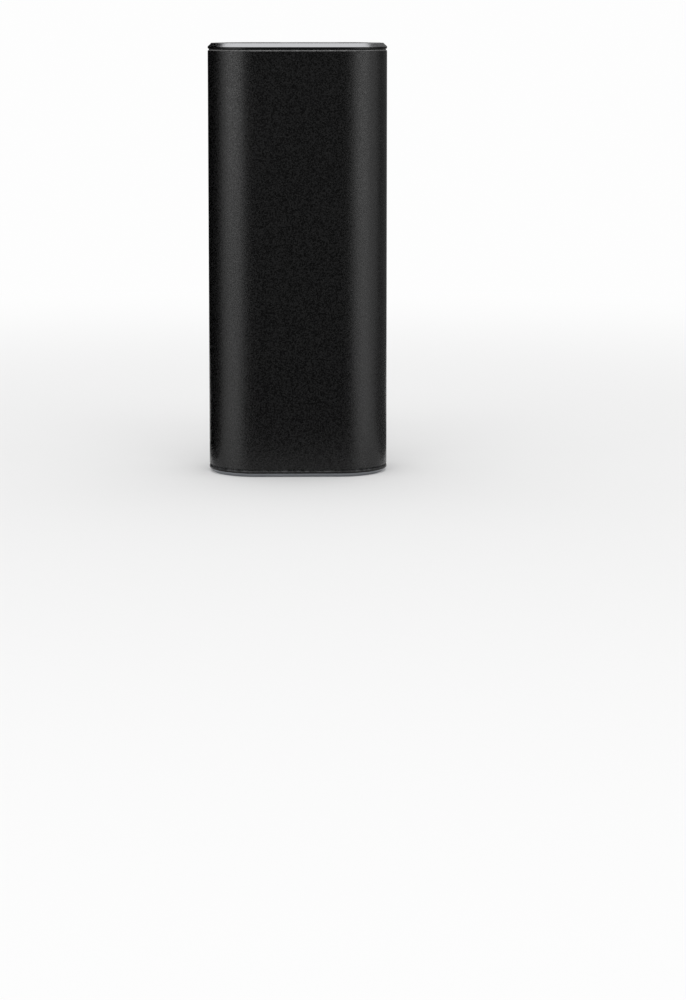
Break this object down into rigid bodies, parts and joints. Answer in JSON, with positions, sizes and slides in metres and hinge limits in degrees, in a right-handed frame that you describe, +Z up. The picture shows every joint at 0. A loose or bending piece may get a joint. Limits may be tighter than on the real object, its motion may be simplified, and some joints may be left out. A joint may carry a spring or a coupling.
{
  "type": "rechargeable hand warmer",
  "caption": "Rechargeable hand warmer: a round-sided aluminium tube between two end caps, with two cells, heating films, charging sockets and a push button on its top end.",
  "frame": {"origin": "bottom centre of the object: the middle of the lower cover, at the lowest face", "axes": "+Z up the length towards the end with the sockets, +X to the right seen from the front, -Y out of the front face"},
  "size_m": [0.042, 0.024, 0.101],
  "materials": {
    "tube_black": "bead-blasted black anodised, matte",
    "cap_black": "smooth moulded, semi-gloss",
    "plate_black": "fine satin",
    "tape": "adhesive film",
    "zinc_steel": "zinc plated",
    "button_black": "satin moulded",
    "clear_acrylic": "frosted clear acrylic",
    "carrier_nylon": "glass-filled moulding",
    "cell_wrap": "shrink sleeve over a drawn can, satin",
    "nickel": "bright nickel",
    "insulator_paper": "pressed paper",
    "foam": "closed-cell foam",
    "lead_red": "silicone-insulated wire",
    "lead_black": "silicone-insulated wire",
    "lead_white": "silicone-insulated wire",
    "heating_film": "polyimide film with an etched track",
    "thermistor": "dipped epoxy",
    "tinned_wire": "tinned",
    "board_green": "solder mask over copper",
    "chip_black": "moulded package",
    "ceramic_chip": "ceramic with tinned ends",
    "ferrite": "pressed ferrite",
    "can_aluminium": "drawn can",
    "light_chip": "diffused lens",
    "insulator_white": "moulded insulator",
    "gold_contact": "gold flash",
    "insulator_black": "moulded insulator"
  },
  "bodies": {
    "casing": {"body_tube": "tube_black", "top_cap": "cap_black", "bottom_cap": "cap_black", "top_fascia": "plate_black", "bottom_cover": "plate_black", "top_fascia_tape": "tape", "bottom_cover_tape": "tape", "top_cap_screws": "zinc_steel", "bottom_cap_screws": "zinc_steel", "light_guide": "clear_acrylic", "front_carrier": "carrier_nylon", "rear_carrier": "carrier_nylon", "left_cell": "cell_wrap", "right_cell": "cell_wrap", "cell_positive_ends": "nickel", "cell_insulator_rings": "insulator_paper", "cell_foam_dots": "foam", "positive_strip": "nickel", "negative_strip": "nickel", "positive_lead": "lead_red", "negative_lead": "lead_black", "front_heating_film": "heating_film", "rear_heating_film": "heating_film", "front_pressure_foam": "foam", "rear_pressure_foam": "foam", "front_heater_leads": "lead_white", "rear_heater_leads": "lead_white", "thermistor_bead": "thermistor", "thermistor_legs": "tinned_wire", "control_board": "board_green", "board_chips": "chip_black", "board_small_parts": "ceramic_chip", "power_choke": "ferrite", "output_capacitor": "can_aluminium", "charge_lights": "light_chip", "output_socket_shell": "nickel", "output_socket_tongue": "insulator_white", "output_socket_contacts": "gold_contact", "input_socket_shell": "nickel", "input_socket_tongue": "insulator_black", "input_socket_contacts": "gold_contact", "switch_body": "chip_black"},
    "button": {"power_button": "button_black"},
    "plunger": {"switch_plunger": "insulator_white"}
  },
  "joints": [
    {"name": "power_button_press", "type": "slide", "parent": "casing", "child": "button", "axis": [0, 0, -1], "range_m": [0, 0.0004], "stiffness_N_per_m": 1500, "springref_m": -0.0004},
    {"name": "switch_plunger_press", "type": "slide", "parent": "casing", "child": "plunger", "axis": [0, 0, -1], "range_m": [0, 0.0004]}
  ],
  "couplings": [
    {"joint": "switch_plunger_press", "follows": "power_button_press", "ratio": 1}
  ]
}
